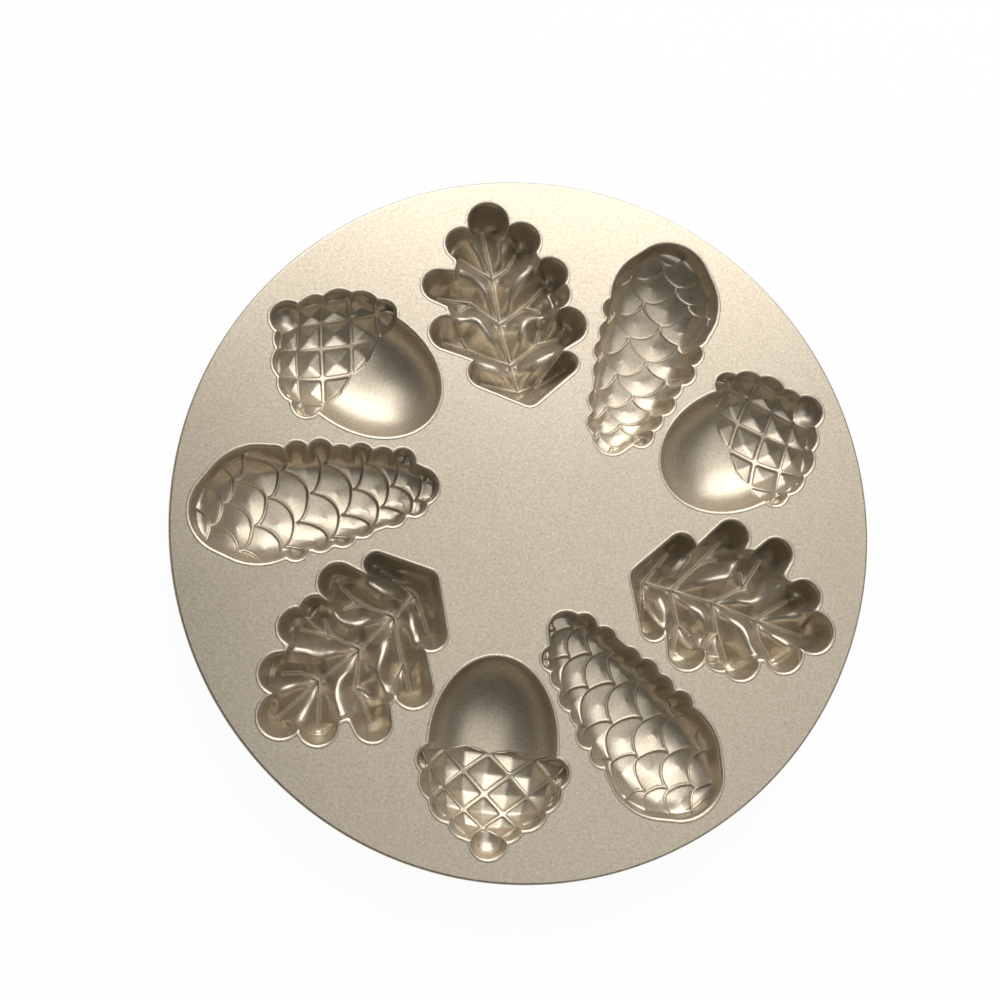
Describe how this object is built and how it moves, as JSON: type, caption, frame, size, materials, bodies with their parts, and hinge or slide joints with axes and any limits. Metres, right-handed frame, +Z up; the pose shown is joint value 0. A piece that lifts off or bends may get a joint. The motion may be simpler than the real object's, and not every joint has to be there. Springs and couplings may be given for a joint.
{
  "type": "cakelet pan",
  "caption": "Round cast cakelet pan: a flat rimless deck with oak leaf, acorn and pinecone cups sunk into it in a ring, each with a sharp relief.",
  "frame": {"origin": "middle of the round deck, on the plane that the flat lands under the pinecone cups stand on", "axes": "+Z up, square to the deck and out of the cups; +Y towards the far side of the pan, near the leaf cup called top; +X to the right"},
  "size_m": [0.33, 0.33, 0.027],
  "materials": {
    "coated_aluminium": "champagne gold non-stick coating, satin with a fine speckle, over cast aluminium"
  },
  "bodies": {
    "root": {"deck": "coated_aluminium", "leaf_cup_top": "coated_aluminium", "leaf_cup_left": "coated_aluminium", "leaf_cup_right": "coated_aluminium", "pinecone_cup_top": "coated_aluminium", "pinecone_cup_left": "coated_aluminium", "pinecone_cup_bottom": "coated_aluminium", "acorn_cup_right": "coated_aluminium", "acorn_cup_left": "coated_aluminium", "acorn_cup_bottom": "coated_aluminium"}
  },
  "joints": []
}
